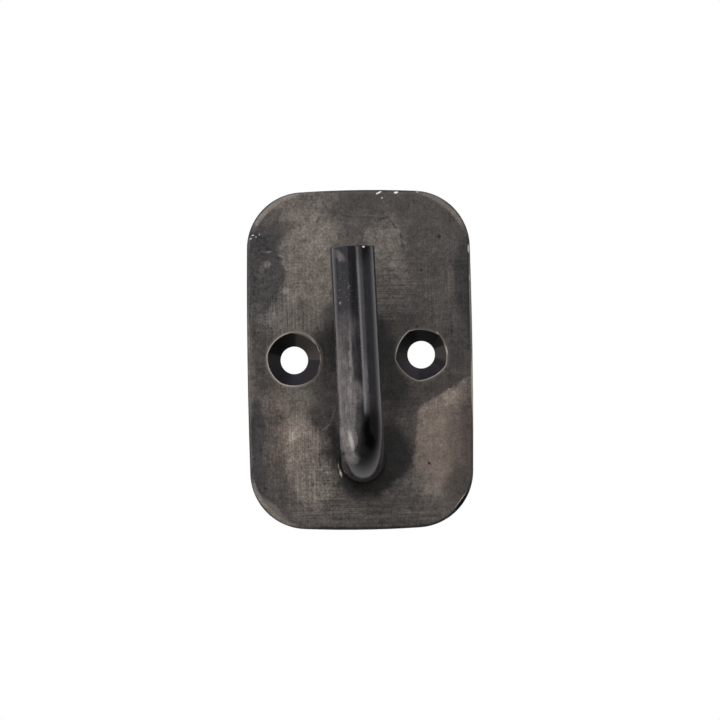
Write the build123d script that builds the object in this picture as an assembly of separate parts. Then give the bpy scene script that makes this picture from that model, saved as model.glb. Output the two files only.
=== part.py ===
from build123d import *
import math
import os

# Wall hook: a steel plate with two screw holes, and a round bar bent up into a hook.
# Millimetres. The plate's back lies on the wall plane y = 0 and the hook comes out towards -Y.
# +Z is up, and the origin is the middle of the plate's back face.

# Back plate, filed by hand so that its sides and ends bow out a little
plate_width = 41.7
plate_height = 62.9
plate_thickness = 3.0
side_bow = 0.45
end_bow = 1.05
corner_radius = 10.5
front_edge_round = 0.7
back_edge_break = 0.25

# Corners eased with a file at the front, all but the lower right one; widest at the middle of each
ease_width = 1.35
ease_depth = 0.3
ease_inset = 3.0

# Screw holes, drilled by hand a little out of level with the plate
hole_radius = 2.55
hole_spacing = 23.6
hole_line_x = -0.41
hole_line_z = 0.44
hole_line_tilt_angle = 1.7
hole_land = 0.6

# Countersinks: the tool chattered, so each rim has flats, with a corner between every two of them.
# They sit a little over their holes, and their edges are worn to a narrow lip.
rim_flat_count = 5
left_rim_radius = 4.94
left_rim_rise = 0.17
left_flat_depth = 0.12
left_flat_angle = 22.0
right_rim_radius = 4.82
right_rim_rise = 0.05
right_flat_depth = 0.3
right_flat_angle = 44.0
lip_width = 0.22
lip_depth = 0.1

# The left countersink was cut a second time, off its centre and with a blunter tool
second_cut_radius = 4.55
second_cut_shift = 0.9
second_cut_angle = 68.0
second_cut_depth = 0.5
second_cut_slope_angle = 66.0

# Hook bar
bar_radius = 4.0
bend_radius = 10.0
bar_reach = 17.5
tip_height = 38.9
tip_edge_break = 0.12
foot_x = 0.22
foot_z = -18.5
bar_lean_angle = 2.1

# The bar's rear end goes through the plate and is closed into a countersink in the back
bar_clearance = 0.08
closed_end_spread = 0.9
closed_end_depth = 1.0

wall_plane = Plane(origin=(0, 0, 0), x_dir=(1, 0, 0), z_dir=(0, -1, 0))
front_plane = wall_plane.offset(plate_thickness)
land_plane = wall_plane.offset(hole_land)
lip_plane = front_plane.offset(-lip_depth)


def rim_point(radius, turn):
    return (radius * math.cos(math.radians(turn)), radius * math.sin(math.radians(turn)))


def hole_place(along_line):
    """Where a screw hole lies on the plate, as a shift in the plate's plane."""
    return Pos(hole_line_x, hole_line_z) * Rot(0, 0, hole_line_tilt_angle) * Pos(along_line, 0)


def flatted_circle(radius, depth, first_corner):
    """Closed outline of shallow arcs that meet in corners on the circle of the given radius."""
    step = 360 / rim_flat_count
    arcs = []
    for index in range(rim_flat_count):
        corner = first_corner + index * step
        start = rim_point(radius, corner)
        middle = rim_point(radius - depth, corner + step / 2)
        end = rim_point(radius, corner + step)
        arcs.append(ThreePointArc(start, middle, end))
    return make_face(arcs)


def screw_hole(along_line, rim_radius, rim_rise, flat_depth, first_corner):
    """Cutter for one screw hole: a straight land at the back, a flatted cone and a lip at the front."""
    place = hole_place(along_line)
    rim_place = place * Pos(0, rim_rise)
    throat = land_plane * place * flatted_circle(hole_radius, 0, first_corner)
    rim = lip_plane * rim_place * flatted_circle(rim_radius, flat_depth, first_corner)
    lip = front_plane * rim_place * flatted_circle(rim_radius + lip_width, flat_depth, first_corner)
    cone = loft([throat, rim, lip], ruled=True)
    bore = extrude(wall_plane * place * Circle(hole_radius), plate_thickness)
    return bore + cone


def second_cut():
    """Cutter for the blunter pass over the left countersink, off to its upper right."""
    floor_radius = second_cut_radius - second_cut_depth * math.tan(math.radians(second_cut_slope_angle))
    cone = Cone(
        floor_radius,
        second_cut_radius,
        second_cut_depth,
        align=(Align.CENTER, Align.CENTER, Align.MAX),
    )
    shift = Pos(*rim_point(second_cut_shift, second_cut_angle))
    return front_plane * hole_place(-hole_spacing / 2) * shift * cone


def bar_place():
    """Where the bar stands: at its foot on the wall plane, turned by its lean about the foot's own axis."""
    return Pos(foot_x, 0, foot_z) * Rot(0, -bar_lean_angle, 0)


def closed_end(clearance):
    """Cone at the bar's rear end, wider by the clearance where it is cut out of the plate."""
    section = Polygon(
        (0, 0),
        (bar_radius + closed_end_spread + clearance, 0),
        (bar_radius + clearance, -closed_end_depth),
        (0, -closed_end_depth),
        align=None,
    )
    return revolve(section, Axis.Y)


def plate_outline():
    """Face of the plate: four bowed sides that meet in rounded corners."""
    half_width = plate_width / 2
    half_height = plate_height / 2
    corner_x = half_width - side_bow
    corner_z = half_height - end_bow
    right = ThreePointArc((corner_x, -corner_z), (half_width, 0), (corner_x, corner_z))
    top = ThreePointArc((corner_x, corner_z), (0, half_height), (-corner_x, corner_z))
    left = ThreePointArc((-corner_x, corner_z), (-half_width, 0), (-corner_x, -corner_z))
    bottom = ThreePointArc((-corner_x, -corner_z), (0, -half_height), (corner_x, -corner_z))
    face = make_face([right, top, left, bottom])
    return fillet(face.vertices(), corner_radius)


def corner_ease(arc):
    """Cutter over one corner's arc: what lies outside a shallow cone set inside the corner's centre."""
    centre = arc.arc_center
    outward = (arc @ 0.5 - centre).normalized()
    cone_centre = centre - outward * ease_inset
    cone_radius = corner_radius + ease_inset - ease_width
    block_size = 1.7 * corner_radius
    to_front = (Align.CENTER, Align.CENTER, Align.MAX)
    block = Rot(0, 0, 45) * Box(block_size, block_size, ease_depth, align=to_front)
    cone = Cone(cone_radius + ease_width, cone_radius, ease_depth, align=to_front)
    return front_plane * (Pos(centre + outward * corner_radius) * block - Pos(cone_centre) * cone)


def eased_corners():
    """The cutters for all corners but the lower right one."""
    arcs = plate_outline().edges().filter_by(lambda edge: abs(edge.radius - corner_radius) < 0.01)
    lower_right = arcs.sort_by(lambda arc: (arc @ 0.5).X - (arc @ 0.5).Y)[-1]
    return [corner_ease(arc) for arc in arcs if arc != lower_right]


def back_plate():
    blank = extrude(wall_plane * plate_outline(), plate_thickness)
    blank = fillet(blank.faces().sort_by(Axis.Y)[0].edges(), front_edge_round)
    blank = chamfer(blank.faces().sort_by(Axis.Y)[-1].edges(), back_edge_break)
    bar_hole = extrude(wall_plane * Circle(bar_radius + bar_clearance), plate_thickness)
    bar_seat = bar_place() * (bar_hole + closed_end(bar_clearance))
    left = screw_hole(-hole_spacing / 2, left_rim_radius, left_rim_rise, left_flat_depth, left_flat_angle)
    right = screw_hole(hole_spacing / 2, right_rim_radius, right_rim_rise, right_flat_depth, right_flat_angle)
    return blank - eased_corners() - bar_seat - left - second_cut() - right


def hook_bar():
    bend_start = bar_reach - bend_radius
    foot = extrude(wall_plane * Circle(bar_radius), bend_start)
    bend_plane = wall_plane.offset(bend_start)
    bend_axis = Axis((0, -bend_start, bend_radius), (1, 0, 0))
    bend = revolve(bend_plane * Circle(bar_radius), bend_axis, -90)
    upright = Pos(0, -bar_reach, bend_radius) * Cylinder(
        bar_radius,
        tip_height - bend_radius,
        align=(Align.CENTER, Align.CENTER, Align.MIN),
    )
    bar = foot + bend + upright + closed_end(0)
    bar = chamfer(bar.faces().sort_by(Axis.Z)[-1].edges(), tip_edge_break)
    return bar_place() * bar


os.makedirs("parts", exist_ok=True)
for name, solid in {"back_plate": back_plate(), "hook_bar": hook_bar()}.items():
    export_step(solid, f"parts/{name}.step")
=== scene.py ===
import math

import bmesh
import bpy
from mathutils import Matrix, Vector


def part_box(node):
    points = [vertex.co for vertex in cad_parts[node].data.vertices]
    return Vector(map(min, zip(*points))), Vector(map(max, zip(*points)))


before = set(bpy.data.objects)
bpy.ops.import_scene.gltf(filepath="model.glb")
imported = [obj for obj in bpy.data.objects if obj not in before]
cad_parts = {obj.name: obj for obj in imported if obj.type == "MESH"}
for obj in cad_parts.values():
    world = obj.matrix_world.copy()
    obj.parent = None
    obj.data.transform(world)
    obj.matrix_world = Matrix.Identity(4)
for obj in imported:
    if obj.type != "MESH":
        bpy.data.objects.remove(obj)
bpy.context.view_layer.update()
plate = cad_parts["back_plate"]
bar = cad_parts["hook_bar"]
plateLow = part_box("back_plate")[0]
print("frame loaded:", sorted(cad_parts))

# camera: square on to the plate, turned a little as the hook was in the photo
photo = {
    "size": 720,
    "pixelsPerMm": 5.41,        # at the plate's front face
    "centre": (360.1, 359.9),    # where the middle of the plate shows
    "roll": 0.87,               # degrees, top of the plate to the left
    "aside": -0.33,             # degrees, the camera stood a little to the left
    "distance": 0.5,
    "sensor": 36.0,
    "clip": (0.05, 50),
}


def makeCamera():
    pixel = 0.001 / photo["pixelsPerMm"]
    roll = math.radians(photo["roll"])
    turned = math.radians(photo["aside"])
    back = Vector((math.sin(turned), -math.cos(turned), 0))
    level = Vector((math.cos(turned), math.sin(turned), 0))
    right = level * math.cos(roll) - Vector((0, 0, math.sin(roll)))
    up = level * math.sin(roll) + Vector((0, 0, math.cos(roll)))
    aside = photo["size"] / 2 - photo["centre"][0]
    above = photo["centre"][1] - photo["size"] / 2
    middle = Vector((0, plateLow.y, 0))
    place = middle + back * photo["distance"] + right * aside * pixel + up * above * pixel
    camera = bpy.data.cameras.new("photoCamera")
    camera.sensor_width = photo["sensor"]
    camera.lens = photo["sensor"] * photo["distance"] / (photo["size"] * pixel)
    camera.clip_start, camera.clip_end = photo["clip"]
    cameraObject = bpy.data.objects.new("photoCamera", camera)
    turn = Matrix((right, up, back)).transposed().to_4x4()
    cameraObject.matrix_world = Matrix.Translation(place) @ turn
    bpy.context.scene.collection.objects.link(cameraObject)
    bpy.context.scene.camera = cameraObject


makeCamera()
print("camera set")


def addNode(tree, kind, values=None, **settings):
    made = tree.nodes.new("ShaderNode" + kind)
    for name, setting in settings.items():
        setattr(made, name, setting)
    for name, value in (values or {}).items():
        if isinstance(value, bpy.types.NodeSocket):
            tree.links.new(value, made.inputs[name])
        else:
            made.inputs[name].default_value = value
    return made


def addMath(tree, operation, first, second=0.0, clamp=False):
    return addNode(tree, "Math", {0: first, 1: second}, operation=operation, use_clamp=clamp).outputs[0]


def addRange(tree, value, low, high, toLow=0.0, toHigh=1.0):
    values = {"Value": value, "From Min": low, "From Max": high, "To Min": toLow, "To Max": toHigh}
    return addNode(tree, "MapRange", values, interpolation_type="SMOOTHSTEP").outputs["Result"]


def addBlend(tree, factor, first, second):
    values = {"Factor": factor, "A": first, "B": second}
    return addNode(tree, "Mix", values, data_type="FLOAT").outputs["Result"]


def addTint(tree, factor, first, second, blend="MIX"):
    values = {"Factor": factor, "A": first, "B": second}
    return addNode(tree, "Mix", values, data_type="RGBA", blend_type=blend).outputs["Result"]


def addNoise(tree, place, scale, detail=2.0, roughness=0.5):
    values = {"Vector": place, "Scale": scale, "Detail": detail, "Roughness": roughness}
    return addNode(tree, "TexNoise", values).outputs["Fac"]


def addVector(tree, operation, first, second):
    return addNode(tree, "VectorMath", {0: first, 1: second}, operation=operation).outputs[0]


def addScaled(tree, vector, factor):
    return addNode(tree, "VectorMath", {0: vector, "Scale": factor}, operation="SCALE").outputs[0]


def addLength(tree, vector):
    return addNode(tree, "VectorMath", {0: vector}, operation="LENGTH").outputs["Value"]


def addShare(tree, value, more, share):
    return addMath(tree, "ADD", value, addMath(tree, "MULTIPLY", more, share))


# light: a lamp high in front, a pale wall on the left, a window and its curtain on the right,
# and a white sheet all round behind the plate, which the bar mirrors at its sides
studio = {
    "white": 1.0,
    "sheet": 1.0,
    "low": 0.7,                 # how bright the sheet still is towards the floor
    "room": 0.05,
    # where the sheet starts behind, where it gets darker below, and what is dark straight behind
    "sheetFrom": (-0.15, 0.6),
    "lowFrom": (-0.5, 0.0),
    "straightFrom": (0.68, 0.8),
    "lamps": {
        "topLamp": {"place": (-0.16, -0.95, 0.66), "size": (1.0, 0.8), "power": 11.2},
        "leftWall": {"place": (-0.84, -0.545, 0.0), "size": (1.25, 1.6), "power": 2.75},
        "rightWindow": {"place": (0.41, -0.91, 0.19), "size": (0.19, 0.72), "power": 1.25},
        "rightCurtain": {"place": (0.63, -0.78, 0.19), "size": (0.30, 0.72), "power": 0.60},
        "rightWall": {"place": (0.93, -0.36, 0.0), "size": (0.80, 1.2), "power": 0.55},
    },
}


def makeLamps():
    for name, lamp in studio["lamps"].items():
        light = bpy.data.lights.new(name, "AREA")
        light.shape = "RECTANGLE"
        light.size, light.size_y = lamp["size"]
        light.energy = lamp["power"]
        lightObject = bpy.data.objects.new(name, light)
        place = Vector(lamp["place"])
        turn = place.to_track_quat("Z", "Y").to_matrix().to_4x4()
        lightObject.matrix_world = Matrix.Translation(place) @ turn
        lightObject.visible_camera = False
        bpy.context.scene.collection.objects.link(lightObject)


def makeWorld():
    world = bpy.data.worlds.new("studioRoom")
    world.use_nodes = True
    tree = world.node_tree
    direction = addNode(tree, "TexCoord").outputs["Generated"]
    parts = addNode(tree, "SeparateXYZ", {0: direction}).outputs
    behind = addRange(tree, parts["Y"], *studio["sheetFrom"])
    below = addRange(tree, parts["Z"], *studio["lowFrom"], studio["low"], 1.0)
    behind = addMath(tree, "MULTIPLY", behind, below)
    # the bar would mirror white through the screw holes
    path = addNode(tree, "LightPath").outputs
    straight = addRange(tree, parts["Y"], *studio["straightFrom"])
    straight = addMath(tree, "MULTIPLY", straight, path["Is Glossy Ray"])
    behind = addMath(tree, "SUBTRACT", behind, straight, clamp=True)
    room = (studio["room"],) * 3 + (1,)
    sheet = (studio["sheet"],) * 3 + (1,)
    white = (studio["white"],) * 3 + (1,)
    seen = addTint(tree, behind, room, sheet)
    seen = addTint(tree, path["Is Camera Ray"], seen, white)
    tree.links.new(seen, tree.nodes["Background"].inputs["Color"])
    bpy.context.scene.world = world


# floor: pale, under the hook and below the photo's frame
floorLook = {
    "size": 0.6,
    "level": -0.5,
    "colour": (0.8, 0.8, 0.78, 1),
    "roughness": 0.9,
    "white": (1, 1, 1, 1),      # as the camera sees it, like the background
}


def makeFloor():
    shape = bmesh.new()
    bmesh.ops.create_grid(shape, x_segments=1, y_segments=1, size=floorLook["size"] / 2)
    bmesh.ops.translate(shape, verts=shape.verts, vec=(0, 0, floorLook["level"]))
    mesh = bpy.data.meshes.new("paleFloor")
    shape.to_mesh(mesh)
    shape.free()
    material = bpy.data.materials.new("paleFloor")
    material.use_nodes = True
    tree = material.node_tree
    matt = tree.nodes["Principled BSDF"]
    matt.inputs["Base Color"].default_value = floorLook["colour"]
    matt.inputs["Roughness"].default_value = floorLook["roughness"]
    bright = addNode(tree, "Emission", {"Color": floorLook["white"], "Strength": 1.0}).outputs[0]
    seen = addNode(tree, "LightPath").outputs["Is Camera Ray"]
    surface = addNode(tree, "MixShader", {0: seen, 1: matt.outputs[0], 2: bright}).outputs[0]
    tree.links.new(surface, tree.nodes["Material Output"].inputs["Surface"])
    mesh.materials.append(material)
    floor = bpy.data.objects.new("paleFloor", mesh)
    floor.visible_glossy = False    # the bar mirrors the white sheet instead
    bpy.context.scene.collection.objects.link(floor)


makeLamps()
makeWorld()
makeFloor()
bpy.context.scene.view_settings.view_transform = "Standard"
print("studio set")


def makeGroup(name, takes, gives):
    group = bpy.data.node_groups.new(name, "ShaderNodeTree")
    for socketName, kind in takes:
        group.interface.new_socket(socketName, in_out="INPUT", socket_type="NodeSocket" + kind)
    for socketName, kind in gives:
        group.interface.new_socket(socketName, in_out="OUTPUT", socket_type="NodeSocket" + kind)
    start = group.nodes.new("NodeGroupInput")
    end = group.nodes.new("NodeGroupOutput")
    return group, start.outputs, end.inputs


# one rubbed or darkened patch: an oval with a soft edge that pulls the tone to its own level
def makeRubPatch():
    takes = [("Place", "Vector"), ("Tone", "Float"), ("Centre", "Vector"), ("Half", "Vector"),
             ("Turn", "Float"), ("Softness", "Float"), ("Level", "Float"), ("Strength", "Float")]
    group, start, end = makeGroup("rubPatch", takes, [("Tone", "Float")])
    values = {"Vector": start["Place"], "Center": start["Centre"], "Angle": start["Turn"]}
    turned = addNode(group, "VectorRotate", values, rotation_type="Y_AXIS").outputs[0]
    offset = addVector(group, "SUBTRACT", turned, start["Centre"])
    length = addLength(group, addVector(group, "DIVIDE", offset, start["Half"]))
    inner = addMath(group, "SUBTRACT", 1.0, start["Softness"])
    outer = addMath(group, "ADD", 1.0, start["Softness"])
    mask = addRange(group, length, inner, outer, 1.0, 0.0)
    share = addMath(group, "MULTIPLY", mask, start["Strength"])
    group.links.new(addBlend(group, share, start["Tone"], start["Level"]), end["Tone"])
    return group


# steel surface in millimetres: blotches, fine grain, drawn lines and smears, each around zero
grainLook = {
    # scale, detail and roughness of each noise
    "blotch": (0.7, 6.0, 0.68),
    "grain": (2.4, 4.0, 0.7),
    "lines": (1.0, 3.0, 0.6),
    "smear": (0.26, 6.0, 0.6),
    "smearEdge": (0.46, 0.54),
    "bumpDistance": 0.0001,     # metres
}


def makeSteelGrain():
    takes = [("Place", "Vector"), ("Line Scale", "Vector")]
    gives = [("Blotch", "Float"), ("Grain", "Float"), ("Lines", "Float"), ("Smear", "Float")]
    group, start, end = makeGroup("steelGrain", takes, gives)
    stretched = addVector(group, "MULTIPLY", start["Place"], start["Line Scale"])
    blotch = addNoise(group, start["Place"], *grainLook["blotch"])
    grain = addNoise(group, start["Place"], *grainLook["grain"])
    lines = addNoise(group, stretched, *grainLook["lines"])
    smear = addNoise(group, start["Place"], *grainLook["smear"])
    smear = addRange(group, smear, *grainLook["smearEdge"])
    for name, value in (("Blotch", blotch), ("Grain", grain), ("Lines", lines), ("Smear", smear)):
        group.links.new(addMath(group, "SUBTRACT", value, 0.5), end[name])
    return group


rubPatch = makeRubPatch()
steelGrain = makeSteelGrain()


def addPatches(tree, place, tone, patches, depth, halfDepth):
    for x, z, halfX, halfZ, turn, softness, level, strength in patches:
        patch = tree.nodes.new("ShaderNodeGroup")
        patch.node_tree = rubPatch
        tree.links.new(place, patch.inputs["Place"])
        if isinstance(tone, bpy.types.NodeSocket):
            tree.links.new(tone, patch.inputs["Tone"])
        else:
            patch.inputs["Tone"].default_value = tone
        patch.inputs["Centre"].default_value = (x, depth, z)
        patch.inputs["Half"].default_value = (halfX, halfDepth, halfZ)
        patch.inputs["Turn"].default_value = math.radians(turn)
        patch.inputs["Softness"].default_value = softness
        patch.inputs["Level"].default_value = level
        patch.inputs["Strength"].default_value = strength
        tone = patch.outputs["Tone"]
    return tone


def addGrain(tree, place, lineScale):
    grain = tree.nodes.new("ShaderNodeGroup")
    grain.node_tree = steelGrain
    tree.links.new(place, grain.inputs["Place"])
    grain.inputs["Line Scale"].default_value = lineScale
    return grain.outputs


def addMillimetres(tree):
    return addScaled(tree, addNode(tree, "TexCoord").outputs["Object"], 1000.0)


def addWarp(tree, place, scale, reach):
    values = {"Vector": place, "Scale": scale, "Detail": 4.0, "Roughness": 0.6}
    cloud = addNode(tree, "TexNoise", values).outputs["Color"]
    centred = addVector(tree, "SUBTRACT", cloud, (0.5, 0.5, 0.5))
    return addVector(tree, "ADD", place, addScaled(tree, centred, reach))


def addRamp(tree, tone, stops):
    ramp = addNode(tree, "ValToRGB", {"Fac": tone})
    elements = ramp.color_ramp.elements
    elements[0].position, elements[0].color = stops[0][0], (*stops[0][1], 1)
    elements[1].position, elements[1].color = stops[-1][0], (*stops[-1][1], 1)
    for position, colour in stops[1:-1]:
        elements.new(position).color = (*colour, 1)
    return ramp.outputs["Color"]


# a tone that changes with the angle round a hole, counted in degrees from the right
def addSectors(tree, turn, sectors):
    return addRamp(tree, turn, [(angle / 360 + 0.5, (level,) * 3) for angle, level in sectors])


# which side of a line a place is on: 0 above or left of it, 1 below or right of it
def addSide(tree, place, line, softness):
    x, z, angle = line
    across = (math.sin(math.radians(angle)), 0, -math.cos(math.radians(angle)))
    offset = addVector(tree, "SUBTRACT", place, (x, 0, z))
    distance = addNode(tree, "VectorMath", {0: offset, 1: across}, operation="DOT_PRODUCT").outputs["Value"]
    return addRange(tree, distance, -softness, softness)


def addBump(tree, shader, strength, height):
    values = {"Strength": strength, "Distance": grainLook["bumpDistance"], "Height": height}
    tree.links.new(addNode(tree, "Bump", values).outputs["Normal"], shader.inputs["Normal"])


def newMaterial(name):
    material = bpy.data.materials.new(name)
    material.use_nodes = True
    return material, material.node_tree, material.node_tree.nodes["Principled BSDF"]


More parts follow.
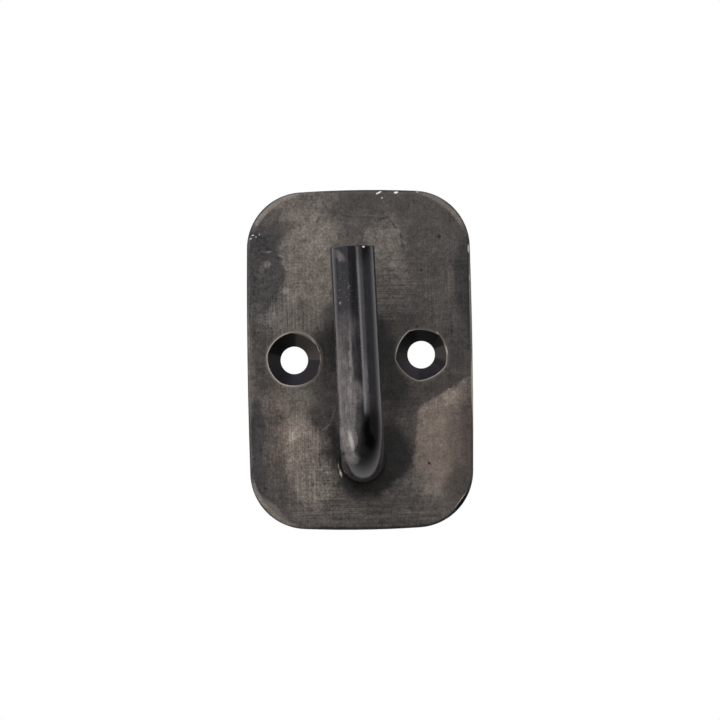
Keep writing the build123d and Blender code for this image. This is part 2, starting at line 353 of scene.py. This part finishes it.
# back plate: blackened, then rubbed back by hand; tones are display levels from 0 to 1
plateLook = {
    "tone": 0.288,
    "ramp": [(0.02, (0.002, 0.002, 0.0025)), (0.13, (0.0155, 0.0148, 0.0150)),
             (0.18, (0.0270, 0.0252, 0.0240)), (0.306, (0.0815, 0.0700, 0.0640)),
             (0.40, (0.147, 0.127, 0.113)), (0.45, (0.190, 0.163, 0.141)),
             (0.63, (0.392, 0.352, 0.305)), (0.95, (0.88, 0.86, 0.80))],
    "specular": 0.2,
    "roughness": 0.5,
    "roughnessShare": 0.4,      # how much the unevenness changes the roughness
    "bump": 0.15,
    "backFacing": (0.3, 0.7),   # from where on a face counts as the back
    # scale and reach of the warps that make edges ragged
    "warps": {"wide": (0.30, 4.0), "loose": (1.3, 1.5), "near": (3.5, 0.3),
              "ragged": (0.9, 1.6), "marks": (1.5, 1.0), "scuffs": (4.0, 1.1)},
    # stretch of the brush lines, and how much each kind of unevenness counts
    "upLines": (3.4, 0.3, 0.10),
    "acrossLines": (0.10, 0.3, 3.4),
    "grain": {"blotch": 0.95, "fine": 1.15, "smear": 0.08, "up": 1.1, "across": 1.2,
              "upElsewhere": 0.2, "acrossElsewhere": 0.15},
    # middle and half of the depth in which patches show
    "through": (0.0, 1000.0),
    "onFace": (-3.0, 1.2),
    "onEdge": (-2.5, 1.0),
    # x, z, half width, half height, turn, softness, level, strength
    "patches": [
        (-9.4, 16.4, 5.4, 8.4, 4, 0.14, 0.435, 0.95),
        (-8.0, 23.6, 4.2, 3.4, 0, 0.5, 0.435, 0.9),
        (5.0, 21.8, 4.0, 4.2, 0, 0.35, 0.395, 0.9),
        (5.6, 14.5, 3.4, 6.0, 0, 0.5, 0.36, 0.8),
        (-11.4, 28.0, 4.6, 2.4, -8, 0.4, 0.42, 0.9),
        (-15.9, 26.5, 2.6, 0.8, 42, 0.5, 0.31, 0.85),
        (-6.5, 30.0, 3.5, 1.6, 0, 0.5, 0.375, 0.85),
        (0.6, 30.2, 4.0, 1.9, 0, 0.4, 0.265, 0.9),
        (13.5, 25.5, 5.5, 4.0, 0, 0.5, 0.275, 0.7),
        (-12.0, 8.0, 6.0, 3.4, 0, 0.5, 0.385, 0.9),
        (-17.8, 17.7, 2.9, 8.5, 3, 0.12, 0.24, 0.95),
        (-17.0, 23.4, 2.4, 2.8, 30, 0.3, 0.24, 0.8),
        (19.6, 13.8, 1.5, 9.0, 0, 0.6, 0.19, 0.95),
        (0.6, 2.7, 8.4, 5.5, 0, 0.35, 0.148, 0.95),
        (-6.0, 0.2, 1.8, 4.2, 0, 0.5, 0.165, 0.9),
        (8.5, 6.0, 4.5, 2.6, 0, 0.6, 0.235, 0.7),
        (-5.8, -6.5, 2.6, 6.0, 0, 0.6, 0.225, 0.8),
        (6.2, -5.0, 3.0, 5.0, 0, 0.6, 0.168, 0.9),
        (-18.8, 1.2, 2.2, 4.4, 0, 0.6, 0.245, 0.85),
        (-20.6, -1.0, 0.9, 9.0, 0, 0.5, 0.36, 0.8),
        (-12.0, -7.6, 5.8, 2.5, 0, 0.6, 0.4, 0.85),
        (18.2, 0.7, 2.4, 6.5, 0, 0.6, 0.225, 0.85),
        (13.4, -6.6, 5.5, 2.4, 34, 0.3, 0.24, 0.9),
        (-11.5, -15.6, 3.9, 5.8, 8, 0.4, 0.48, 0.9),
        (-12.2, -14.1, 0.9, 0.9, 0, 0.7, 0.58, 0.8),
        (-16.6, -16.6, 2.4, 6.0, 0, 0.6, 0.315, 0.85),
        (-19.3, -12.7, 1.3, 3.8, 0, 0.35, 0.225, 0.9),
        (-18.9, -22.0, 1.1, 3.4, 8, 0.35, 0.24, 0.9),
        (-1.0, -28.0, 16.0, 2.6, 0, 0.5, 0.325, 0.9),
        (4.5, -30.6, 9.0, 1.1, 0, 0.4, 0.25, 0.9),
        (1.8, -18.2, 7.6, 7.4, 0, 0.2, 0.155, 0.95),
        (0.6, -24.0, 3.0, 1.3, 0, 0.6, 0.185, 0.9),
        # painted shade on the plate beside the bar's foot
        (-4.9, -13.8, 0.8, 3.2, 0, 0.4, 0.15, 0.85),
    ],
    # the light area low on the right, below its top line and right of its left one,
    # and the brown below the foot
    "lightArea": {
        "top": (14.7, -6.7, 31),
        "left": (10.2, -14.5, 83),
        "foot": (6.4, -22.4, 39),
        "softness": 0.5,
        "level": 0.435,
        "footLevel": 0.315,
    },
    # patches with crisper edges
    "marks": [
        (14.4, -8.3, 4.2, 1.2, 31, 0.4, 0.465, 0.8),
        (13.2, -12.5, 2.4, 4.6, 10, 0.5, 0.465, 0.7),
        (18.4, -15.5, 2.4, 7.4, 0, 0.5, 0.335, 0.85),
        (17.8, -24.4, 2.8, 3.8, 0, 0.5, 0.275, 0.85),
        (9.6, -23.8, 1.7, 2.8, 0, 0.6, 0.34, 0.85),
        (9.0, -28.2, 11.0, 2.8, 0, 0.5, 0.295, 0.9),
        (6.0, -30.6, 8.5, 1.0, 0, 0.5, 0.245, 0.8),
        (20.3, -14.0, 1.8, 10.0, 0, 0.4, 0.27, 0.9),
        (18.8, -23.6, 1.6, 4.0, 15, 0.4, 0.26, 0.85),
        (-19.3, -13.4, 1.2, 6.3, 0, 0.2, 0.235, 0.9),
        (-18.6, -21.8, 1.0, 2.8, 12, 0.4, 0.25, 0.8),
        (-7.0, -8.6, 2.2, 4.2, 0, 0.25, 0.262, 0.7),
        (-8.8, -22.4, 4.4, 4.6, 0, 0.35, 0.435, 0.95),
        (-14.5, 16.1, 1.0, 2.3, 8, 0.3, 0.235, 0.8),
        (-13.1, 13.0, 1.8, 0.5, 15, 0.4, 0.45, 0.7),
        (-16.9, 17.9, 0.65, 0.6, 20, 0.4, 0.42, 0.85),
        (-18.1, 16.0, 0.7, 1.8, -10, 0.6, 0.31, 0.7),
    ],
    "cool": [(-18.2, 17.5, 3.6, 9.5, 3, 0.4, 1.0, 1.0), (-19.0, -18.0, 1.6, 9.0, 0, 0.5, 1.0, 0.8)],
    "warm": [(17.0, -15.0, 7.8, 9.8, 0, 0.3, 1.0, 1.0), (-11.8, -16.0, 4.5, 6.0, 0, 0.5, 1.0, 0.5),
             (-15.4, -12.5, 2.0, 7.0, 0, 0.4, 1.0, 0.8)],
    "coolTint": (0.93, 0.97, 1.06, 1),
    "warmTint": (1.04, 0.96, 0.92, 1),
    "chips": [
        (3.9, 30.85, 0.58, 0.14, 26, 0.3, 0.95, 1.0),
        (7.1, 30.85, 0.4, 0.17, 8, 0.3, 0.95, 1.0),
        (4.5, 29.9, 0.15, 0.15, 0, 0.4, 0.75, 1.0),
        (11.1, 30.9, 0.3, 0.1, 0, 0.4, 0.7, 1.0),
        (-19.5, 23.3, 0.24, 0.1, 0, 0.4, 0.85, 1.0),
        (-19.9, 22.7, 0.22, 0.11, 0, 0.4, 0.85, 1.0),
        (-18.9, 23.0, 0.14, 0.09, -30, 0.4, 0.7, 1.0),
        (-18.25, 23.45, 0.08, 0.14, 0, 0.4, 0.7, 1.0),
        (-13.35, 16.9, 0.15, 0.25, 0, 0.4, 0.5, 1.0),
        (-5.1, -10.0, 0.12, 1.8, -19, 0.5, 0.4, 0.7),
        (-6.5, -12.4, 1.05, 0.16, 40, 0.5, 0.42, 0.8),
        (-16.4, -27.1, 3.2, 0.45, -44, 0.5, 0.43, 0.7),
        (-16.6, 20.2, 0.5, 0.16, 10, 0.6, 0.45, 1.0),
        (-14.5, 19.5, 0.2, 0.14, 0, 0.5, 0.5, 1.0),
        (-11.1, 12.4, 0.9, 0.16, 20, 0.6, 0.48, 1.0),
        (-8.58, 3.53, 0.06, 0.8, 42, 0.5, 0.62, 1.0),
        (-7.69, 2.09, 0.06, 0.8, 22, 0.5, 0.62, 1.0),
        (-7.33, 0.43, 0.06, 0.8, 2, 0.5, 0.6, 1.0),
        (-7.57, -1.25, 0.06, 0.8, -18, 0.5, 0.5, 1.0),
        (16.06, 1.5, 0.08, 0.8, 8, 0.5, 0.75, 0.9),
        (14.36, 4.78, 0.3, 0.12, -35, 0.5, 0.6, 0.9),
        (-3.9, -20.9, 0.17, 0.7, 14, 0.4, 0.8, 1.0),
        (-4.3, -19.6, 0.1, 0.5, 5, 0.4, 0.6, 1.0),
    ],
    # short scuffs above the bar
    "scuffs": [
        (6.8, 24.6, 0.9, 0.2, -50, 0.5, 0.2, 0.8),
        (7.5, 23.7, 0.6, 0.16, -60, 0.5, 0.5, 0.8),
        (7.9, 22.8, 0.7, 0.18, -75, 0.5, 0.19, 0.8),
        (8.2, 21.2, 0.7, 0.18, -70, 0.5, 0.2, 0.7),
        (4.6, 26.1, 1.0, 0.18, 5, 0.5, 0.2, 0.8),
        (1.9, 26.7, 1.6, 0.1, -2, 0.5, 0.4, 0.7),
        (-2.0, 26.6, 1.0, 0.17, -8, 0.5, 0.2, 0.8),
        (-4.2, 27.3, 0.5, 0.15, -60, 0.5, 0.2, 0.8),
        (-7.4, 26.0, 0.7, 0.17, 70, 0.5, 0.22, 0.7),
        (-15.6, 19.3, 2.0, 0.09, -12, 0.5, 0.17, 0.7),
        (16.5, -5.6, 0.3, 0.1, 0, 0.5, 0.6, 1.0),
    ],
    "pits": [
        (15.0, 22.6, 0.3, 0.3, 0, 0.4, 0.1, 1.0),
        (11.6, 16.4, 0.2, 0.2, 0, 0.4, 0.12, 1.0),
        (-17.8, -23.5, 0.2, 0.2, 0, 0.4, 0.12, 1.0),
        (12.5, -19.3, 0.2, 0.2, 0, 0.4, 0.12, 1.0),
        (10.6, 6.0, 0.25, 0.2, 0, 0.4, 0.13, 1.0),
        (-1.4, -23.4, 0.25, 0.25, 0, 0.4, 0.08, 1.0),
        (0.15, -23.0, 0.2, 0.2, 0, 0.4, 0.08, 1.0),
    ],
    # painted contact shadow: a dark line round the foot of the bar
    "contactShadow": [(0.22, -18.5, 4.34, 4.34, 0, 0.03, 0.03, 0.9)],
    # rounded edge and eased corners, told by their depth, with painted shade along the outermost brink, and
    # the thin wear down the right side with a painted shade line at the bottom right corner
    "edge": {"from": (-2.998, -2.9), "elsewhere": 0.95, "uneven": 0.6},
    # painted shade on the outermost brink: where it shows, and its tone
    "brinkShade": {"from": (-2.8, -2.72), "elsewhere": 0.35, "tone": 0.16},
    "edges": [
        (-15.2, 28.4, 6.0, 4.6, 0, 0.3, 0.46, 0.95),
        (15.8, 28.0, 6.0, 4.8, 0, 0.3, 0.42, 0.95),
        (-16.8, -26.4, 6.2, 5.4, 0, 0.3, 0.475, 0.95),
        (17.4, -27.4, 6.0, 5.4, 0, 0.3, 0.2, 0.95),
        (-20.8, 0.0, 1.4, 11.0, 0, 0.3, 0.42, 0.9),
        (-20.8, 17.0, 1.4, 6.5, 0, 0.3, 0.38, 0.9),
        (-20.8, -15.0, 1.4, 5.5, 0, 0.3, 0.4, 0.9),
        (20.8, 13.0, 1.4, 10.0, 0, 0.3, 0.19, 0.95),
        (20.8, -9.0, 1.4, 13.0, 0, 0.3, 0.27, 0.9),
        (2.5, -31.3, 11.0, 1.2, 0, 0.3, 0.215, 0.95),
        (0.0, 31.4, 3.4, 1.2, 0, 0.4, 0.27, 0.9),
    ],
    # where the painted brink shade is strongest, at the corners
    "brinkShades": [(-16.6, 27.2, 6.2, 5.2, 0, 0.3, 0.85, 1.0), (16.8, 27.0, 6.2, 5.2, 0, 0.3, 0.95, 1.0),
               (-16.8, -26.4, 6.2, 5.4, 0, 0.3, 0.7, 1.0), (17.4, -27.4, 6.0, 5.4, 0, 0.3, 0.95, 1.0)],
    "wearAndCornerShade": [
        (20.95, 2.0, 0.47, 24.0, 0, 0.35, 0.46, 0.9),
        (20.9, -5.0, 0.5, 6.0, 0, 0.3, 0.62, 0.95),
        (20.1, 12.0, 0.2, 9.0, 0, 0.5, 0.14, 0.8),
        (20.5, 12.0, 0.17, 8.0, 0, 0.4, 0.5, 0.85),
        (20.36, 20.3, 0.2, 0.85, 0, 0.4, 0.72, 1.0),
        (20.45, 14.9, 0.12, 0.5, 0, 0.4, 0.66, 1.0),
        # painted shade: a dark line on the outer rim of the bottom right corner
        (18.56, -26.25, 2.4, 0.35, 53, 0.3, 0.03, 0.95),
        (18.3, -26.0, 2.0, 0.06, 53, 0.4, 0.7, 0.9),
    ],
    # countersinks: how their faces are told from the flat, and what both have
    "countersink": {
        "slopeFacing": (-0.985, -0.95),
        "lipFacing": (-0.79, -0.84),
        "lipDepth": (-2.65, -2.95),
        "lipFoot": 0.55,
        "reach": (6.4, 6.2),
        "speckle": 0.4,
        "roughness": 0.34,
        # painted light: a cool tint on cone walls that face up
        "upwardLight": (-0.1, 0.4),
        "upwardLightTint": (0.95, 0.92, 1.20, 1),
    },
    # ring round the hole: far, near, level and strength; painted light and shade of the cone, and wear and
    # painted highlight of the lip: angle and tone
    "holes": {
        "left": {
            "centre": (-12.21, 0.26),
            "ring": (5.6, 5.05, 0.46, 0.6),
            "cone": [(-180, 0.16), (-150, 0.12), (-128, 0.095), (-118, 0.11), (-100, 0.15), (-90, 0.18),
                     (-4, 0.195), (0, 0.3), (18, 0.285), (36, 0.265), (48, 0.255), (80, 0.265), (90, 0.15),
                     (108, 0.1), (130, 0.04), (162, 0.036), (165, 0.13), (172, 0.155), (180, 0.16)],
            "lip": [(-180, 0.62), (-100, 0.6), (-60, 0.4), (-35, 0.2), (25, 0.2), (35, 0.42), (45, 0.54),
                    (88, 0.54), (105, 0.68), (150, 0.68), (180, 0.62)],
        },
        "right": {
            "centre": (11.39, 0.84),
            "ring": (5.4, 4.85, 0.40, 0.45),
            "cone": [(-180, 0.185), (-150, 0.19), (-102, 0.2), (-92, 0.15), (-60, 0.145), (-40, 0.19),
                     (-30, 0.15), (-18, 0.18), (-10, 0.265), (20, 0.28), (25, 0.13), (50, 0.11),
                     (98, 0.115), (114, 0.04), (140, 0.04), (156, 0.06), (166, 0.14), (172, 0.1),
                     (176, 0.185), (180, 0.185)],
            "lip": [(-180, 0.46), (-150, 0.42), (-100, 0.48), (-50, 0.52), (0, 0.5), (20, 0.52), (30, 0.4),
                    (100, 0.44), (115, 0.6), (170, 0.66), (180, 0.46)],
        },
    },
    # how strong the grain is: smooth low on the right, coarse down the left side
    "coarse": [(16.0, -18.0, 6.5, 10.0, 0, 0.5, 0.6, 1.0), (-18.5, 15.0, 3.5, 12.0, 0, 0.5, 1.35, 1.0),
               (-6.0, -17.0, 3.5, 6.0, 0, 0.5, 1.35, 1.0)],
    # where the brush ran up and down, and where it ran across
    "upright": [(-14.0, 5.0, 6.0, 8.0, 0, 0.5, 1.0, 1.0), (-13.0, -17.0, 6.5, 10.0, 0, 0.5, 0.7, 1.0),
                (16.0, 10.0, 4.5, 14.0, 0, 0.6, 0.7, 1.0), (14.0, -17.0, 5.0, 8.0, 0, 0.6, 0.3, 1.0)],
    "across": [(1.0, -28.0, 14.0, 3.0, 0, 0.5, 1.0, 1.0), (6.5, 12.0, 4.0, 7.0, 0, 0.6, 0.8, 1.0),
               (-6.0, -21.0, 4.0, 3.0, 0, 0.5, 0.8, 1.0)],
}


def makePlateSteel():
    material, tree, shader = newMaterial("rubbedPlate")
    place = addMillimetres(tree)
    depth = addNode(tree, "SeparateXYZ", {0: place}).outputs["Y"]
    trueNormal = addNode(tree, "NewGeometry").outputs["True Normal"]
    normal = addNode(tree, "SeparateXYZ", {0: trueNormal}).outputs
    facing = normal["Y"]
    through = plateLook["through"]
    onFace = plateLook["onFace"]
    warps = plateLook["warps"]
    wide = addWarp(tree, place, *warps["wide"])
    loose = addWarp(tree, wide, *warps["loose"])
    near = addWarp(tree, place, *warps["near"])
    ragged = addWarp(tree, place, *warps["ragged"])

    counts = plateLook["grain"]
    grain = addGrain(tree, loose, plateLook["upLines"])
    upright = addGrain(tree, place, plateLook["upLines"])
    across = addGrain(tree, place, plateLook["acrossLines"])
    upZones = addPatches(tree, loose, counts["upElsewhere"], plateLook["upright"], *through)
    acrossZones = addPatches(tree, loose, counts["acrossElsewhere"], plateLook["across"], *through)
    upLines = addMath(tree, "MULTIPLY", addMath(tree, "MULTIPLY", upright["Lines"], upZones), counts["up"])
    acrossLines = addMath(tree, "MULTIPLY", across["Lines"], acrossZones)
    lines = addShare(tree, upLines, acrossLines, counts["across"])
    uneven = addMath(tree, "MULTIPLY", grain["Blotch"], counts["blotch"])
    uneven = addShare(tree, uneven, upright["Grain"], counts["fine"])
    uneven = addShare(tree, uneven, grain["Smear"], counts["smear"])
    uneven = addMath(tree, "ADD", uneven, lines)

    tone = addPatches(tree, loose, plateLook["tone"], plateLook["patches"], *through)
    area = plateLook["lightArea"]
    under = addSide(tree, ragged, area["top"], area["softness"])
    beside = addSide(tree, ragged, area["left"], area["softness"])
    below = addSide(tree, ragged, area["foot"], area["softness"])
    tone = addBlend(tree, below, tone, area["footLevel"])
    tone = addBlend(tree, addMath(tree, "MULTIPLY", under, beside), tone, area["level"])
    tone = addPatches(tree, addWarp(tree, place, *warps["marks"]), tone, plateLook["marks"], *through)
    back = addRange(tree, facing, *plateLook["backFacing"])
    front = addMath(tree, "SUBTRACT", 1.0, back)
    tone = addBlend(tree, back, tone, plateLook["tone"])
    coarse = addPatches(tree, loose, 1.0, plateLook["coarse"], *through)
    uneven = addMath(tree, "MULTIPLY", uneven, coarse)
    tone = addMath(tree, "MULTIPLY", tone, addMath(tree, "ADD", uneven, 1.0))

    # over the rounded edge and the eased corners: worn light or left dark, then painted shade along the
    # outermost brink
    edge, brinkShade = plateLook["edge"], plateLook["brinkShade"]
    overEdge = addMath(tree, "SUBTRACT", addRange(tree, depth, *edge["from"]), back, clamp=True)
    edgeTone = addMath(tree, "MULTIPLY", tone, edge["elsewhere"])
    edgeTone = addPatches(tree, near, edgeTone, plateLook["edges"], *through)
    edgeTone = addMath(tree, "MULTIPLY", edgeTone, addShare(tree, 1.0, uneven, edge["uneven"]))
    tone = addBlend(tree, overEdge, tone, edgeTone)
    brinkShadeZones = addPatches(tree, near, brinkShade["elsewhere"], plateLook["brinkShades"], *through)
    brinkShadeMask = addMath(tree, "MULTIPLY", addRange(tree, depth, *brinkShade["from"]), brinkShadeZones)
    brinkShadeMask = addMath(tree, "SUBTRACT", brinkShadeMask, back, clamp=True)
    tone = addBlend(tree, brinkShadeMask, tone, brinkShade["tone"])
    tone = addPatches(tree, near, tone, plateLook["wearAndCornerShade"], *plateLook["onEdge"])

    # countersinks: cones with light and shade painted by the angle round the hole, a worn lip with a
    # painted highlight, and painted light on walls that face up
    sink = plateLook["countersink"]
    sloping = addMath(tree, "SUBTRACT", addRange(tree, facing, *sink["slopeFacing"]), back, clamp=True)
    onLip = addRange(tree, facing, *sink["lipFacing"])
    offLip = addMath(tree, "SUBTRACT", 1.0, onLip)
    lipShade = addRange(tree, depth, *sink["lipDepth"], sink["lipFoot"], 1.0)
    speckle = addShare(tree, 1.0, grain["Grain"], sink["speckle"])
    inCone = 0.0
    for hole in plateLook["holes"].values():
        centre = (hole["centre"][0], 0, hole["centre"][1])
        flat = addVector(tree, "MULTIPLY", addVector(tree, "SUBTRACT", place, centre), (1, 0, 1))
        distance = addLength(tree, flat)
        parts = addNode(tree, "SeparateXYZ", {0: flat}).outputs
        angle = addMath(tree, "ARCTAN2", parts["Z"], parts["X"])
        turn = addMath(tree, "ADD", addMath(tree, "DIVIDE", angle, 2 * math.pi), 0.5)
        ringFar, ringNear, ringLevel, ringStrength = hole["ring"]
        ring = addMath(tree, "MULTIPLY", addRange(tree, distance, ringFar, ringNear), ringStrength)
        tone = addBlend(tree, addMath(tree, "MULTIPLY", ring, front), tone, ringLevel)
        # painted light and shade on the cone, set by the angle round the hole
        cone = addMath(tree, "MULTIPLY", addSectors(tree, turn, hole["cone"]), speckle)
        # wear and a painted highlight on the lip, brightest at its top
        lip = addMath(tree, "MULTIPLY", addSectors(tree, turn, hole["lip"]), lipShade)
        inHole = addMath(tree, "MULTIPLY", addRange(tree, distance, *sink["reach"]), sloping)
        tone = addBlend(tree, inHole, tone, addBlend(tree, onLip, cone, lip))
        inCone = addMath(tree, "ADD", inCone, addMath(tree, "MULTIPLY", inHole, offLip))

    # painted contact shadow round the foot of the bar
    tone = addPatches(tree, near, tone, plateLook["contactShadow"], *through)
    tone = addPatches(tree, near, tone, plateLook["pits"], *onFace)
    tone = addPatches(tree, addWarp(tree, place, *warps["scuffs"]), tone, plateLook["scuffs"], *onFace)
    tone = addPatches(tree, near, tone, plateLook["chips"], *onFace)

    colour = addRamp(tree, tone, plateLook["ramp"])
    cool = addPatches(tree, loose, 0.0, plateLook["cool"], *through)
    cool = addMath(tree, "MULTIPLY", cool, front)
    colour = addTint(tree, cool, colour, plateLook["coolTint"], "MULTIPLY")
    warm = addPatches(tree, loose, 0.0, plateLook["warm"], *through)
    warm = addMath(tree, "MULTIPLY", warm, front)
    colour = addTint(tree, warm, colour, plateLook["warmTint"], "MULTIPLY")
    # painted light: cone walls that face up get a cool tint
    upwardLight = addMath(tree, "MULTIPLY", inCone, addRange(tree, normal["Z"], *sink["upwardLight"]))
    colour = addTint(tree, upwardLight, colour, sink["upwardLightTint"], "MULTIPLY")
    tree.links.new(colour, shader.inputs["Base Color"])

    roughness = addShare(tree, plateLook["roughness"], uneven, plateLook["roughnessShare"])
    roughness = addBlend(tree, inCone, roughness, sink["roughness"])
    tree.links.new(roughness, shader.inputs["Roughness"])
    shader.inputs["Specular IOR Level"].default_value = plateLook["specular"]
    addBump(tree, shader, plateLook["bump"], addMath(tree, "ADD", upright["Grain"], lines))
    return material


# hook bar: black and half polished, rubbed to bare metal low on its left
barLook = {
    "tone": 0.122,
    "ramp": [(0.02, (0.0015, 0.0015, 0.0018)), (0.125, (0.0137, 0.0132, 0.0151)),
             (0.25, (0.0520, 0.0490, 0.0495)), (0.42, (0.158, 0.137, 0.128)),
             (0.65, (0.41, 0.380, 0.365)), (0.95, (0.88, 0.86, 0.82))],
    "specular": 0.7,
    "specularTint": (1.0, 0.96, 1.03, 1),
    "roughness": {"black": 0.17, "worn": 0.32, "closedEnd": 0.5, "share": 0.12},
    "wornTone": (0.18, 0.4),    # from where on a tone counts as worn
    "bareTone": (0.35, 0.6),    # from where on it covers the soot
    "bump": 0.05,
    # scale and reach of the warps, stretch of the drawn lines, and how much each unevenness counts
    "warps": {"loose": (0.7, 1.2), "near": (3.0, 0.3)},
    "lines": (3.0, 3.0, 0.2),
    "grain": {"blotch": 1.1, "fine": 0.6, "lines": 1.0},
    # middle and half of the depth in which patches show
    "allRound": (-17.0, 9.0),
    "onFront": (-19.5, 4.0),
    # the foot, darkened as painted shade close to the plate, and the end that was closed and dressed flush
    # with the plate's back
    "foot": {"tone": 0.05, "depth": (-11.0, -7.5)},
    "closedEnd": {"tone": 0.27, "depth": (-0.2, -0.05), "facing": (0.6, 0.9)},
    "patches": [
        (-2.4, 13.5, 1.8, 7.5, 0, 0.5, 0.142, 0.9),
        (2.9, 10.0, 1.3, 11.0, 0, 0.5, 0.108, 0.85),
        (-0.95, 16.2, 0.4, 4.8, 0, 0.5, 0.06, 0.85),
        (-2.3, 5.8, 1.9, 3.0, 4, 0.5, 0.31, 0.85),
        (-2.6, -6.5, 2.1, 10.5, 5, 0.35, 0.4, 0.95),
        (-0.9, -0.5, 0.6, 3.8, 0, 0.5, 0.25, 0.8),
        (-0.55, -5.9, 1.1, 2.7, 0, 0.35, 0.36, 0.85),
        (-0.35, -11.0, 0.7, 3.0, 0, 0.5, 0.26, 0.8),
        # wear and painted reflection: lighter beside the mirrored window strip, widening it
        (0.85, -4.0, 0.4, 4.3, 0, 0.4, 0.34, 0.8),
        (-1.75, 0.0, 0.3, 4.8, 2, 0.5, 0.48, 0.85),
        (-2.6, -14.2, 1.9, 2.6, 0, 0.1, 0.465, 0.9),
        (-1.9, -17.6, 1.4, 1.1, 0, 0.4, 0.5, 0.85),
        (-3.45, 18.6, 1.4, 0.75, -50, 0.35, 0.36, 0.95),
    ],
    # soot, which also stands in for a painted dark reflection on the bend and at the tip
    "sootAndShadeTone": 0.215,
    "sootAndDarkReflection": [(1.85, -12.6, 2.0, 4.5, 0, 0.35, 1.0, 1.0), (0.7, 19.8, 1.6, 2.6, 0, 0.5, 1.0, 1.0)],
    "flecksAndHighlight": [
        # painted highlight low on the bend's left; the other two are flecks
        (-1.9, -14.5, 0.36, 1.8, 10, 0.6, 0.78, 0.9),
        (-3.55, 10.2, 0.2, 0.22, 0, 0.5, 0.55, 1.0),
        (0.8, 20.15, 0.2, 0.2, 0, 0.4, 0.95, 1.0),
    ],
    "dust": [(-2.8, 12.4, 1.6, 4.0, 0, 0.5, 1.0, 1.0)],
    "specks": {"noise": (2.6, 1.0, 0.4), "edge": (0.64, 0.7), "tone": 0.36},
}


def makeBarSteel():
    material, tree, shader = newMaterial("blackBar")
    place = addMillimetres(tree)
    depth = addNode(tree, "SeparateXYZ", {0: place}).outputs["Y"]
    trueNormal = addNode(tree, "NewGeometry").outputs["True Normal"]
    facing = addNode(tree, "SeparateXYZ", {0: trueNormal}).outputs["Y"]
    allRound = barLook["allRound"]
    onFront = barLook["onFront"]
    loose = addWarp(tree, place, *barLook["warps"]["loose"])
    near = addWarp(tree, place, *barLook["warps"]["near"])

    counts = barLook["grain"]
    grain = addGrain(tree, place, barLook["lines"])
    uneven = addMath(tree, "MULTIPLY", grain["Blotch"], counts["blotch"])
    uneven = addShare(tree, uneven, grain["Grain"], counts["fine"])
    uneven = addShare(tree, uneven, grain["Lines"], counts["lines"])
    mottled = addMath(tree, "ADD", uneven, 1.0)
    tone = addPatches(tree, loose, barLook["tone"], barLook["patches"], *allRound)
    tone = addMath(tree, "MULTIPLY", tone, mottled)
    # painted shade: the foot is darkened near the plate
    foot = barLook["foot"]
    footShade = addRange(tree, depth, *foot["depth"])
    tone = addBlend(tree, footShade, tone, foot["tone"])

    specks = barLook["specks"]
    dusty = addPatches(tree, near, 0.0, barLook["dust"], *onFront)
    speckled = addRange(tree, addNoise(tree, place, *specks["noise"]), *specks["edge"])
    tone = addBlend(tree, addMath(tree, "MULTIPLY", speckled, dusty), tone, specks["tone"])
    sootAndShadeMask = addPatches(tree, loose, 0.0, barLook["sootAndDarkReflection"], *allRound)
    # the painted shade on the foot also joins the dark metallic mask
    sootAndShadeMask = addMath(tree, "MAXIMUM", sootAndShadeMask, footShade)
    tone = addBlend(tree, sootAndShadeMask, tone, barLook["sootAndShadeTone"])
    tone = addPatches(tree, near, tone, barLook["flecksAndHighlight"], *onFront)
    sootAndShadeMask = addMath(tree, "MULTIPLY", sootAndShadeMask, addRange(tree, tone, *barLook["bareTone"], 1.0, 0.0))
    end = barLook["closedEnd"]
    closed = addRange(tree, depth, *end["depth"])
    closed = addMath(tree, "MULTIPLY", closed, addRange(tree, facing, *end["facing"]))
    tone = addBlend(tree, closed, tone, addMath(tree, "MULTIPLY", mottled, end["tone"]))
    tree.links.new(addRamp(tree, tone, barLook["ramp"]), shader.inputs["Base Color"])

    rough = barLook["roughness"]
    roughness = addBlend(tree, addRange(tree, tone, *barLook["wornTone"]), rough["black"], rough["worn"])
    roughness = addShare(tree, roughness, grain["Blotch"], rough["share"])
    roughness = addBlend(tree, closed, roughness, rough["closedEnd"])
    tree.links.new(roughness, shader.inputs["Roughness"])
    tree.links.new(sootAndShadeMask, shader.inputs["Metallic"])
    shader.inputs["Specular IOR Level"].default_value = barLook["specular"]
    shader.inputs["Specular Tint"].default_value = barLook["specularTint"]
    addBump(tree, shader, barLook["bump"], addMath(tree, "ADD", grain["Grain"], grain["Lines"]))
    return material


for piece, material in ((plate, makePlateSteel()), (bar, makeBarSteel())):
    piece.data.materials.clear()
    piece.data.materials.append(material)
print("plate and bar dressed")
